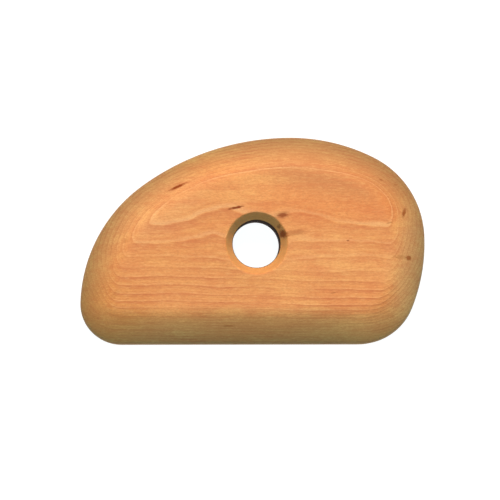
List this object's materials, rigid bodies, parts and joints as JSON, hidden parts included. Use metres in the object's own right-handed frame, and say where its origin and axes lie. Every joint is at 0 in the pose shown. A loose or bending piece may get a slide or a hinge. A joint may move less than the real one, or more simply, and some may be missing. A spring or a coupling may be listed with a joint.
{
  "type": "potter's rib",
  "caption": "Kidney-like flat hardwood rib with one straight working edge, a bevelled front face, a flat back and a countersunk finger hole, for shaping and smoothing clay.",
  "frame": {"origin": "on the finger hole's axis, at the flat back face", "axes": "+X along the rib's length, +Y from the straight working edge towards the curved back, +Z out of the bevelled front face, along the finger hole"},
  "size_m": [0.108, 0.065, 0.014],
  "materials": {
    "pearwood": "sanded and lightly oiled, satin"
  },
  "bodies": {
    "root": {"wooden_rib": "pearwood"}
  },
  "joints": []
}
